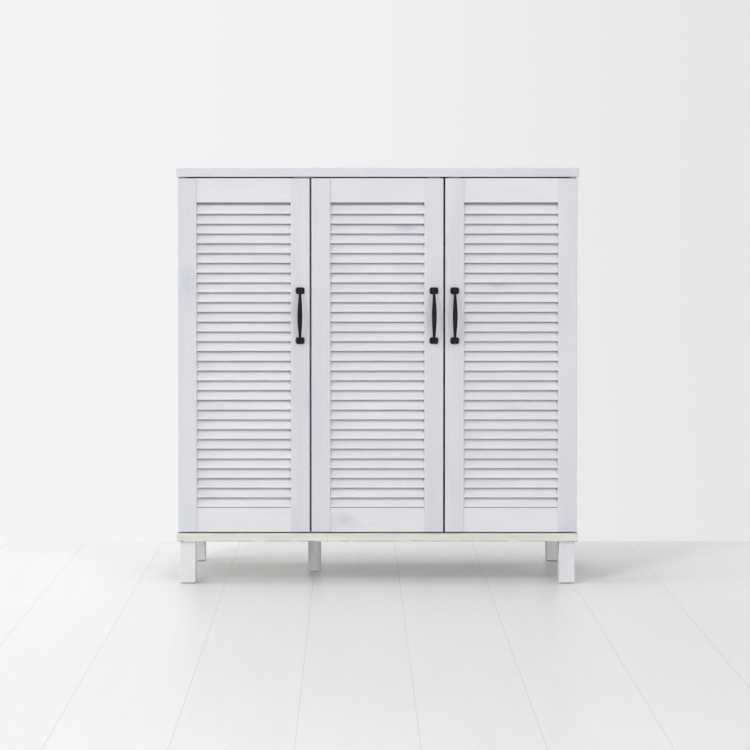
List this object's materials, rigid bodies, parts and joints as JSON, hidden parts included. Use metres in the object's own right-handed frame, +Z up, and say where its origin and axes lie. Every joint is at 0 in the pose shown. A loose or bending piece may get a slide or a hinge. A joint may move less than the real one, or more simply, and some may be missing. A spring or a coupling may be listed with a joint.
{
  "type": "shoe cabinet",
  "caption": "Low white-washed pine shoe cabinet with louvred swing doors, bow handles, loose shelves, a fixed partition and short square legs.",
  "frame": {"origin": "on the floor, under the middle of the box round the cabinet and its handles", "axes": "+X to the right as seen from the front, +Y to the back, +Z up; the doors face -Y"},
  "size_m": [0.89, 0.375, 0.923],
  "materials": {
    "carcass_pine": "white-washed, fine satin",
    "board_pine": "white-washed, grain showing",
    "door_pine": "white-washed, fine satin",
    "slat_pine": "white-washed, fine satin",
    "leg_pine": "white-washed, fine satin",
    "shelf_pine": "white-washed, fine satin",
    "back_board": "painted hardboard",
    "beech": "bare",
    "black_iron": "blackened, satin",
    "nickel": "nickel plated",
    "zinc": "zinc plated",
    "white_plastic": "moulded",
    "glide_felt": "pressed felt"
  },
  "bodies": {
    "carcass": {"top_board": "carcass_pine", "bottom_board": "board_pine", "left_side_panel": "carcass_pine", "right_side_panel": "carcass_pine", "partition": "carcass_pine", "left_back_panel": "back_board", "right_back_panel": "back_board", "left_shelf_1": "shelf_pine", "left_shelf_2": "shelf_pine", "left_shelf_3": "shelf_pine", "left_shelf_4": "shelf_pine", "right_shelf_1": "shelf_pine", "right_shelf_2": "shelf_pine", "right_shelf_3": "shelf_pine", "right_shelf_4": "shelf_pine", "shelf_pins": "white_plastic", "cam_locks": "zinc", "cam_bolts": "zinc", "carcass_dowels": "beech", "front_left_leg": "leg_pine", "front_right_leg": "leg_pine", "rear_left_leg": "leg_pine", "rear_right_leg": "leg_pine", "middle_leg": "leg_pine", "leg_bolts": "zinc", "leg_inserts": "zinc", "leg_glides": "glide_felt", "hinge_plates": "nickel", "hinge_arms": "nickel", "hinge_screws": "zinc", "magnetic_catches": "white_plastic", "catch_screws": "zinc"},
    "left_door": {"left_door_hinge_stile": "door_pine", "left_door_handle_stile": "door_pine", "left_door_top_rail": "door_pine", "left_door_bottom_rail": "door_pine", "left_door_slats": "slat_pine", "left_door_handle": "black_iron", "left_door_handle_screws": "zinc", "left_door_hinge_cups": "nickel", "left_door_strike_plate": "zinc"},
    "middle_door": {"middle_door_hinge_stile": "door_pine", "middle_door_handle_stile": "door_pine", "middle_door_top_rail": "door_pine", "middle_door_bottom_rail": "door_pine", "middle_door_slats": "slat_pine", "middle_door_handle": "black_iron", "middle_door_handle_screws": "zinc", "middle_door_hinge_cups": "nickel", "middle_door_strike_plate": "zinc"},
    "right_door": {"right_door_hinge_stile": "door_pine", "right_door_handle_stile": "door_pine", "right_door_top_rail": "door_pine", "right_door_bottom_rail": "door_pine", "right_door_slats": "slat_pine", "right_door_handle": "black_iron", "right_door_handle_screws": "zinc", "right_door_hinge_cups": "nickel", "right_door_strike_plate": "zinc"}
  },
  "joints": [
    {"name": "left_door_swing", "type": "hinge", "parent": "carcass", "child": "left_door", "pos_m": [-0.433, -0.1525, 0.508], "axis": [0, 0, -1], "range_deg": [0, 95]},
    {"name": "middle_door_swing", "type": "hinge", "parent": "carcass", "child": "middle_door", "pos_m": [-0.137, -0.1525, 0.508], "axis": [0, 0, -1], "range_deg": [0, 95]},
    {"name": "right_door_swing", "type": "hinge", "parent": "carcass", "child": "right_door", "pos_m": [0.433, -0.1525, 0.508], "axis": [0, 0, 1], "range_deg": [0, 95]}
  ]
}
